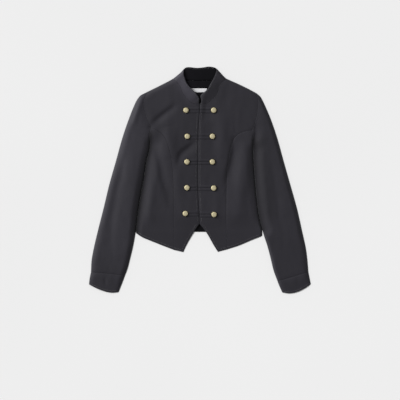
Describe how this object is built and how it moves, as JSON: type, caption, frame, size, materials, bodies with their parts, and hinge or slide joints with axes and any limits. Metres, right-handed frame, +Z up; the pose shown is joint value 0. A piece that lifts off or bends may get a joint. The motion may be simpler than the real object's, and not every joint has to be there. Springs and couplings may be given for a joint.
{
  "type": "button front jacket laid flat",
  "caption": "Cropped button front jacket with stand collar, princess seams, cloth button loops and plain cuffs, laid flat face up.",
  "frame": {"origin": "centre of the jacket's plan, on the surface it lies on", "axes": "+Z up out of the front of the jacket as it lies on its back, +Y from hem to collar, +X from the left of the picture to the right (the wearer's left sleeve is on +X)"},
  "size_m": [0.687, 0.7019, 0.0142],
  "materials": {
    "charcoal_cloth": "matt charcoal suiting with a soft sheen, fine weave",
    "dark_facing_cloth": "black facing cloth inside the neck",
    "label_tape": "white woven tape, blank",
    "antique_brass": "antique brass, darker in the hollows, soft polish on the rim"
  },
  "bodies": {
    "root": {"back": "charcoal_cloth", "back_neck_facing": "dark_facing_cloth", "neck_label": "label_tape", "collar_back": "charcoal_cloth", "front_centre_left": "charcoal_cloth", "front_side_left": "charcoal_cloth", "sleeve_upper_left": "charcoal_cloth", "sleeve_under_left": "charcoal_cloth", "cuff_upper_left": "charcoal_cloth", "cuff_under_left": "charcoal_cloth", "collar_front_left": "charcoal_cloth", "loop_left_1": "charcoal_cloth", "loop_left_2": "charcoal_cloth", "loop_left_3": "charcoal_cloth", "loop_left_4": "charcoal_cloth", "loop_left_5": "charcoal_cloth", "button_left_1": "antique_brass", "button_left_2": "antique_brass", "button_left_3": "antique_brass", "button_left_4": "antique_brass", "button_left_5": "antique_brass", "front_centre_right": "charcoal_cloth", "front_side_right": "charcoal_cloth", "sleeve_upper_right": "charcoal_cloth", "sleeve_under_right": "charcoal_cloth", "cuff_upper_right": "charcoal_cloth", "cuff_under_right": "charcoal_cloth", "collar_front_right": "charcoal_cloth", "loop_right_1": "charcoal_cloth", "loop_right_2": "charcoal_cloth", "loop_right_3": "charcoal_cloth", "loop_right_4": "charcoal_cloth", "loop_right_5": "charcoal_cloth", "button_right_1": "antique_brass", "button_right_2": "antique_brass", "button_right_3": "antique_brass", "button_right_4": "antique_brass", "button_right_5": "antique_brass"}
  },
  "joints": []
}
